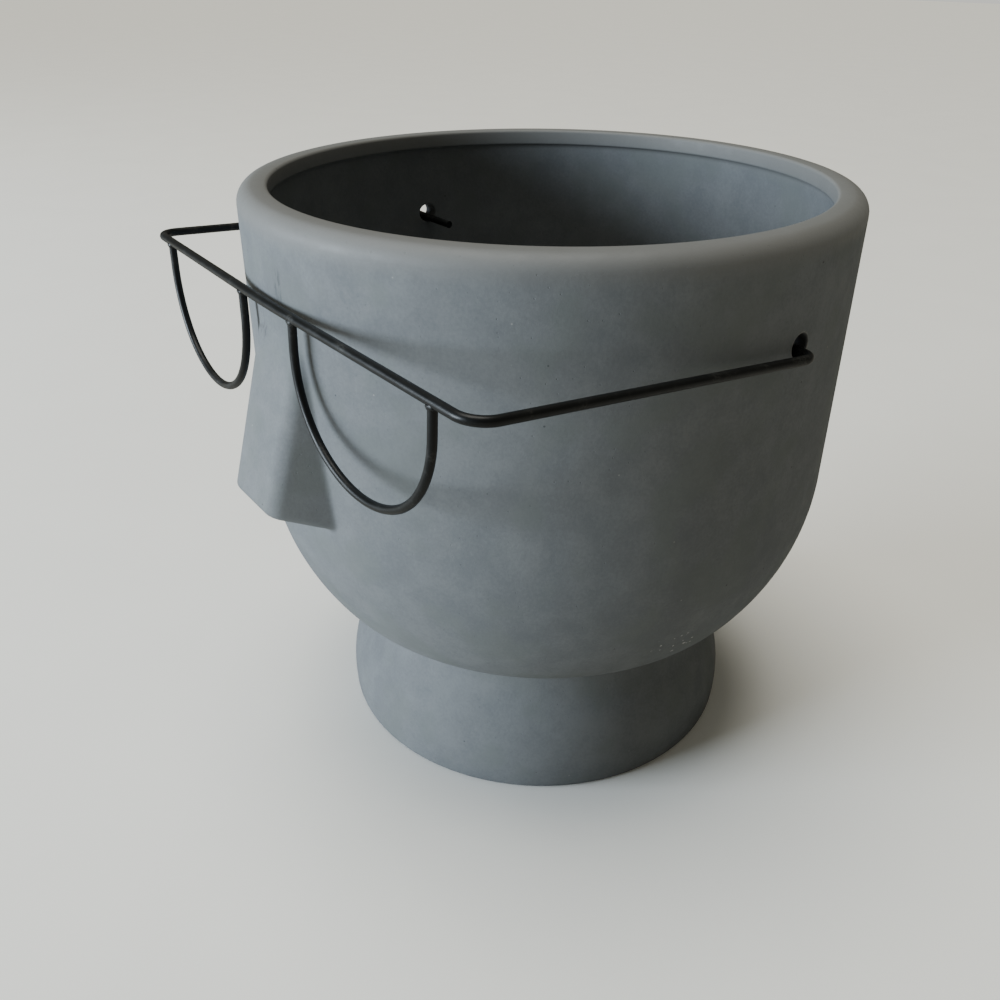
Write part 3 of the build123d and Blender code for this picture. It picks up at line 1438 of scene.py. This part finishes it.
def grown(
    name: str,
    graph: GrownTree,
    points: Sequence[Vector],
    values: dict[str, object],
    bends: Sequence[float] = (),
    chained: bool = True,
) -> bpy.types.Object:
    """Runs a geometry tree on a few points and keeps its result as a plain mesh.

    Args:
        name: The piece's name.
        graph: The tree.
        points: The points in millimetres.
        values: The tree's inputs by name.
        bends: The bend radius at each point, in millimetres.
        chained: Whether an edge joins each point to the next.

    Returns:
        The new object.
    """
    base = bpy.data.meshes.new(name + "_path")
    edges = [(index, index + 1) for index in range(len(points) - 1)] if chained else []
    base.from_pydata([point * MM for point in points], edges, [])
    if bends:
        stored = base.attributes.new("bend", "FLOAT", "POINT")
        stored.data.foreach_set("value", [bend * MM for bend in bends])
    carrier = bpy.data.objects.new(name + "_path", base)
    bpy.context.scene.collection.objects.link(carrier)
    modifier = carrier.modifiers.new("tree", "NODES")
    modifier.node_group = graph.tree
    for key, value in values.items():
        modifier[graph.sockets[key]] = value
    bpy.context.view_layer.update()
    shown = carrier.evaluated_get(bpy.context.evaluated_depsgraph_get())
    mesh = bpy.data.meshes.new_from_object(shown)
    mesh.name = name
    carrier.modifiers.remove(modifier)
    bpy.data.objects.remove(carrier)
    for stale in list(mesh.attributes):
        if stale.name == "bend":
            mesh.attributes.remove(stale)
    piece = bpy.data.objects.new(name, mesh)
    bpy.context.scene.collection.objects.link(piece)
    return piece


@dataclass
class Glasses:
    """Wire glasses: one bent wire for the brow and temples, and two welded lens rims.

    Lengths are in millimetres. The hooks rest a little above the lowest point of their holes.
    A sink is how far a rim's end or a bead's middle lies under the bar's axis, as a share of
    the bar's thickness.
    """

    black: bpy.types.Material
    hole: HookHole
    wire: float = 2.25
    rim_wire: float = 2.05
    hook_rest: float = 0.3
    hook_inner: float = 60.8
    hook_outer: float = 84.3
    corner: Point3 = (79.6, -79.4, 139.2)
    bridge: Point3 = (0.0, -82.3, 140.5)
    hook_bend: float = 3.4
    corner_bend: float = 6.0
    bridge_bend: float = 260.0
    bend_steps: int = 16
    tip: float = 0.35
    tip_middle: float = 0.12
    sides: int = 28
    rim_inner: float = 13.5
    rim_outer: float = 67.5
    rim_leg: float = 7.0
    rim_sink: float = 0.3
    rim_lean: float = 1.7
    rim_side_steps: int = 22
    rim_foot_steps: int = 24
    depth_share: float = 0.93
    side_share: float = 0.975
    bead: float = 1.6
    bead_stretch: Point3 = (1.08, 0.84, 0.74)
    bead_sink: float = 0.36
    bead_unevenness: float = 0.5
    bead_seed: float = 3.0

    def build_wire(self, tree: WireTree) -> bpy.types.Object:
        """Builds the brow and temple wire.

        Args:
            tree: The wire tree.

        Returns:
            The wire as one object.
        """
        hook_z = self.hole.z - self.hole.radius + self.hook_rest + self.wire / 2
        half = [
            (Vector((self.hook_inner + step, self.hole.y, hook_z)), 0.0)
            for step in (0.0, self.tip_middle, self.tip)
        ]
        half.append((Vector((self.hook_outer, self.hole.y, hook_z)), self.hook_bend))
        half.append((Vector(self.corner), self.corner_bend))
        other = [(Vector((-spot.x, spot.y, spot.z)), bend) for spot, bend in reversed(half)]
        path = half + [(Vector(self.bridge), self.bridge_bend)] + other
        return grown(
            "brow_and_temple_bar",
            tree,
            [spot for spot, _ in path],
            self.tree_values(self.wire, self.bend_steps),
            [bend for _, bend in path],
        )

    def tree_values(self, wire: float, steps: int) -> dict[str, object]:
        """The wire tree's inputs for one wire.

        Args:
            wire: The wire's diameter.
            steps: How many steps each of its bends has.

        Returns:
            The inputs by name.
        """
        return {
            "Wire Radius": wire / 2 * MM,
            "Tip Length": self.tip * MM,
            "Bend Steps": steps,
            "Sides": self.sides,
            "Material": self.black,
        }

    def rim_place(self, side: Side) -> Matrix:
        """The plane of a lens rim: x along the bar, y up, leaning out at the foot.

        Args:
            side: The side of the head.

        Returns:
            The transform from that plane to the object, in millimetres.
        """
        along = (Vector(self.corner) - Vector(self.bridge)).normalized()
        middle = (self.rim_inner + self.rim_outer) / 2
        along = Vector((along.x, side.value * along.y, side.value * along.z))
        centre = Vector(self.bridge) + along * (side.value * middle / along.x)
        lean = math.radians(self.rim_lean)
        out = along.cross(Vector((0.0, math.sin(lean), math.cos(lean)))).normalized()
        up = out.cross(along)
        return Matrix.Translation(centre) @ Matrix((along, up, out)).transposed().to_4x4()

    def build_rim(self, side: Side, tree: WireTree) -> bpy.types.Object:
        """Builds a U-shaped lens rim.

        Args:
            side: The side of the head.
            tree: The wire tree.

        Returns:
            The rim as one object.
        """
        half = (self.rim_outer - self.rim_inner) / 2
        depth = half * self.depth_share
        side_radius = depth * self.side_share
        offset = half - side_radius
        rise = depth - side_radius
        bottom = side_radius + (offset**2 + rise**2) / (2 * rise)
        turn = math.degrees(math.atan2(bottom - depth, offset))
        leg, hidden = -self.rim_leg, -self.wire * self.rim_sink
        path = [(half, hidden), (half, leg / 2)]
        path += arc((offset, leg), side_radius, 0, -turn, self.rim_side_steps)
        low = (0.0, bottom - depth + leg)
        path += arc(low, bottom, -turn, turn - 180, self.rim_foot_steps)[1:-1]
        path += arc((-offset, leg), side_radius, turn - 180, -180, self.rim_side_steps)
        path += [(-half, leg / 2), (-half, hidden)]
        place = self.rim_place(side)
        spots = [place @ Vector((x, y, 0.0)) for x, y in path]
        name = side.name.lower() + "_lens_rim_wire"
        return grown(name, tree, spots, self.tree_values(self.rim_wire, 1), [0.0] * len(spots))

    def build_beads(self, tree: BeadTree) -> bpy.types.Object:
        """Builds the four drops of weld under the bar.

        Args:
            tree: The bead tree.

        Returns:
            The drops as one object.
        """
        half = (self.rim_outer - self.rim_inner) / 2
        spots = [
            self.rim_place(side) @ Vector((end * half, -self.wire * self.bead_sink, 0.0))
            for side in Side
            for end in (-1, 1)
        ]
        values = {
            "Drop Radius": self.bead * MM,
            "Stretch": self.bead_stretch,
            "Unevenness": self.bead_unevenness * MM,
            "Seed": self.bead_seed,
            "Material": self.black,
        }
        return grown("weld_drops", tree, spots, values, chained=False)


@dataclass
class DrainPlug:
    """The rubber stopper in the drain hole, with a tab to pull it by.

    Lengths are in millimetres, and tab_flat is the share of the tab's thickness that lies
    between its softened edges.
    """

    finish: RubberFinish
    bottom: float = 35.65
    floor: float = 43.25
    tip_radius: float = 6.3
    tip_ring: float = 3.15
    stem_radius: float = 6.7
    head_radius: float = 11.0
    head_ring: float = 6.6
    head_height: float = 2.4
    head_round: float = 0.8
    tab_width: float = 9.0
    tab_thickness: float = 2.6
    tab_height: float = 6.0
    tab_sink: float = 1.0
    tab_flat: float = 0.78
    tab_soft: float = 0.35
    soft: float = 0.5
    columns: int = 64

    def build(self) -> bpy.types.Object:
        """Builds the plug: a turned stem and head, and the tab that stands in the head.

        Returns:
            The plug as one object.
        """
        top = self.floor + self.head_height
        shoulder = (self.head_radius - self.head_round, top - self.head_round)
        rows = [(self.tip_ring, self.bottom)]
        rows += arc((self.tip_radius - self.soft, self.bottom + self.soft), self.soft, -90, 0, 3)
        rows += [(self.stem_radius, self.floor), (self.head_radius - self.soft, self.floor)]
        rows += arc(shoulder, self.head_round, 0, 90, 5)
        rows += [(self.head_ring, top)]
        points = [(0.0, 0.0, self.bottom), (0.0, 0.0, top)]
        faces: list[list[int]] = []
        count = len(rows)
        for step in range(self.columns):
            turn = math.tau * step / self.columns
            for radius, height in rows:
                points.append((radius * math.cos(turn), radius * math.sin(turn), height))
        for step in range(self.columns):
            here, there = 2 + step * count, 2 + (step + 1) % self.columns * count
            faces.append([0, there, here])
            for row in range(count - 1):
                faces.append([here + row, there + row, there + row + 1, here + row + 1])
            faces.append([1, here + count - 1, there + count - 1])
        self.add_tab(points, faces, top)
        return mesh_object("drain_stopper", points, faces, self.finish.material())

    def add_tab(self, points: list[Point3], faces: list[list[int]], top: float) -> None:
        """Adds the tab as a closed rounded plate that stands in the head.

        Args:
            points: The corners so far, which it adds to.
            faces: The faces so far, which it adds to.
            top: The height of the head's top.
        """
        half, corner = self.tab_width / 2, self.tab_thickness
        foot, crown = top - self.tab_sink, top + self.tab_height
        outline = [(half, foot)]
        outline += arc((half - corner, crown - corner), corner, 0, 90, 8)
        outline += arc((corner - half, crown - corner), corner, 90, 180, 8)
        outline += [(-half, foot)]
        start, count = len(points), len(outline)
        middle = (top + crown) / 2
        layers = (
            (-1.0, self.tab_soft),
            (-self.tab_flat, 0.0),
            (self.tab_flat, 0.0),
            (1.0, self.tab_soft),
        )
        for share, less in layers:
            y = share * self.tab_thickness / 2
            narrower, lower = 1 - less / half, 1 - less / (crown - middle)
            for x, z in outline:
                points.append((x * narrower, y, middle + (z - middle) * lower))
        for layer in range(len(layers) - 1):
            low, high = start + layer * count, start + (layer + 1) * count
            for index in range(count):
                after = (index + 1) % count
                faces.append([low + after, low + index, high + index, high + after])
        last = start + (len(layers) - 1) * count
        faces.append([start + index for index in range(count)])
        faces.append([last + index for index in reversed(range(count))])


# The studio


@dataclass
class Studio:
    """A plain pale floor, light from a low window in front and from above, and the camera.

    The camera's place and the face's height are in millimetres, and the floor's and the
    window's sizes in metres. The camera's angles are in radians and the lamps' in degrees.
    The focal length is in pixels of the image.
    """

    distance: float = 259.8443
    height: float = 208.6789
    azimuth: float = 0.891265
    yaw: float = -0.047110
    pitch: float = 0.515324
    roll: float = 0.008673
    focal: float = 954.747
    image: float = 1000.0
    sensor: float = 36.0
    nearest: float = 0.01
    farthest: float = 50.0
    floor_half: float = 6.0
    floor_tone: Colour = (1.0, 0.995, 0.955)
    floor_bounce: Colour = (0.45, 0.44, 0.40)
    floor_mottle: Grain = Grain(60.0, 4.0)
    floor_band: Band = (0.3, 0.7)
    floor_mottle_strength: float = 0.25
    floor_shade: float = 0.93
    floor_roughness: float = 0.9
    floor_shine: float = 0.05
    sky: Colour = (1.0, 0.96, 0.80)
    sky_power: float = 0.145
    backdrop: Colour = (0.72, 0.715, 0.68)
    height_of_face: float = 110.0
    window_turn: float = -20.0
    window_rise: float = 8.5
    window_distance: float = 1.65
    window_width: float = 0.9
    window_height: float = 0.6
    window_power: float = 50.0
    window_tint: Colour = (0.785, 0.895, 1.0)
    ceiling_from: Point3 = (-0.15, -0.05, 1.0)
    ceiling_spread: float = 40.0
    ceiling_power: float = 2.2
    ceiling_tint: Colour = (1.0, 0.98, 0.9)

    def set_up(self) -> None:
        """Builds the camera, the floor, the sky and the lights."""
        self.camera()
        self.floor()
        self.world()
        self.window()
        self.ceiling()

    def turned(self, vector: Vector) -> Vector:
        """A direction turned by the camera's azimuth about +Z."""
        return Matrix.Rotation(self.azimuth, 3, "Z") @ vector

    def camera(self) -> None:
        """Puts the camera where the photograph was taken from."""
        cy, sy = math.cos(self.yaw), math.sin(self.yaw)
        cp, sp = math.cos(self.pitch), math.sin(self.pitch)
        ahead = Vector((sy * cp, cy * cp, -sp))
        right = Vector((cy, -sy, 0.0))
        up = right.cross(ahead)
        cr, sr = math.cos(self.roll), math.sin(self.roll)
        axes = (right * cr + up * sr, up * cr - right * sr, -ahead)
        turn = Matrix([self.turned(axis) for axis in axes]).transposed().to_4x4()
        stand = self.turned(Vector((0.0, -self.distance, self.height))) * MM
        data = bpy.data.cameras.new("view")
        data.sensor_width = self.sensor
        data.lens = self.focal / self.image * self.sensor
        data.clip_start = self.nearest
        data.clip_end = self.farthest
        holder = bpy.data.objects.new("view", data)
        holder.matrix_world = Matrix.Translation(stand) @ turn
        bpy.context.scene.collection.objects.link(holder)
        bpy.context.scene.camera = holder

    def floor(self) -> None:
        """Lays a plain pale floor, which throws back less light than it seems to."""
        paint = Paint("pale_floor")
        mottle = paint.noise(self.floor_mottle)
        tone = paint.steps(mottle, *self.floor_band, 0.0, self.floor_mottle_strength)
        shade = tuple(value * self.floor_shade for value in self.floor_tone)
        seen = paint.blend(tone, self.floor_tone, shade)
        direct = paint.node("ShaderNodeLightPath").outputs["Is Camera Ray"]
        paint.feed(paint.shader.inputs["Base Color"], paint.blend(direct, self.floor_bounce, seen))
        paint.shader.inputs["Roughness"].default_value = self.floor_roughness
        paint.shader.inputs["Specular IOR Level"].default_value = self.floor_shine
        half = self.floor_half / MM
        corners = [(-half, -half, 0.0), (half, -half, 0.0), (half, half, 0.0), (-half, half, 0.0)]
        mesh_object("pale_floor", corners, [[0, 1, 2, 3]], paint.material)

    def world(self) -> None:
        """Sets a dim even sky that looks as pale as the floor."""
        world = bpy.data.worlds.new("even_sky")
        world.use_nodes = True
        graph = Graph(world.node_tree)
        light = world.node_tree.nodes["Background"]
        light.inputs["Color"].default_value = (*self.sky, 1.0)
        light.inputs["Strength"].default_value = self.sky_power
        seen = graph.node("ShaderNodeBackground")
        seen.inputs["Color"].default_value = (*self.backdrop, 1.0)
        mixed = graph.node("ShaderNodeMixShader")
        graph.feed(mixed.inputs[0], graph.node("ShaderNodeLightPath").outputs["Is Camera Ray"])
        graph.feed(mixed.inputs[1], light.outputs[0])
        graph.feed(mixed.inputs[2], seen.outputs[0])
        graph.feed(world.node_tree.nodes["World Output"].inputs["Surface"], mixed.outputs[0])
        bpy.context.scene.world = world

    def window(self) -> None:
        """Hangs the soft light that falls on the face from a window, low and in front."""
        data = bpy.data.lights.new("window", "AREA")
        data.shape = "RECTANGLE"
        data.size = self.window_width
        data.size_y = self.window_height
        data.energy = self.window_power
        data.color = self.window_tint
        turn, rise = math.radians(self.window_turn), math.radians(self.window_rise)
        level = math.cos(rise)
        back = Vector((math.sin(turn) * level, -math.cos(turn) * level, math.sin(rise)))
        lamp = bpy.data.objects.new("window", data)
        lamp.location = Vector((0.0, 0.0, self.height_of_face * MM)) + back * self.window_distance
        lamp.rotation_euler = (-back).to_track_quat("-Z", "Y").to_euler()
        bpy.context.scene.collection.objects.link(lamp)

    def ceiling(self) -> None:
        """Adds the wide soft light that comes down from a pale ceiling."""
        data = bpy.data.lights.new("ceiling", "SUN")
        data.energy = self.ceiling_power
        data.color = self.ceiling_tint
        data.angle = math.radians(self.ceiling_spread)
        lamp = bpy.data.objects.new("ceiling", data)
        lamp.rotation_euler = Vector(self.ceiling_from).to_track_quat("Z", "Y").to_euler()
        bpy.context.scene.collection.objects.link(lamp)


def put_on(piece: bpy.types.Object, body: Body, slot: Slot, *nodes: str) -> None:
    """Puts a piece on its body and hides the solids that it stands for.

    Args:
        piece: The finished piece.
        body: The body that it moves with.
        slot: Not used.
        nodes: The solids' nodes.
    """
    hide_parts(*nodes)
    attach(piece, body.value)
    LOG.info("%s: %d faces, on %s", piece.name, len(piece.data.polygons), body.value)


def main() -> None:
    """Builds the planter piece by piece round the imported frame."""
    logging.basicConfig(level=logging.INFO, format="%(message)s")
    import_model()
    Studio().set_up()
    hole = HookHole()
    put_on(HeadPot(StonewareFinish(hole), hole).build(), Body.POT, Slot.STONEWARE, "head_pot")
    put_on(DrainPlug(RubberFinish()).build(), Body.PLUG, Slot.RUBBER, "drain_plug")
    glasses = Glasses(WireFinish("black_wire").material(), hole)
    wires, drops = WireTree(), BeadTree()
    put_on(glasses.build_wire(wires), Body.GLASSES, Slot.WIRE, "brow_and_temple_wire")
    for side in Side:
        put_on(
            glasses.build_rim(side, wires), Body.GLASSES, Slot.WIRE, side.name.lower() + "_lens_rim"
        )
    put_on(glasses.build_beads(drops), Body.GLASSES, Slot.WIRE, "weld_beads")


if __name__ == "__main__":
    main()
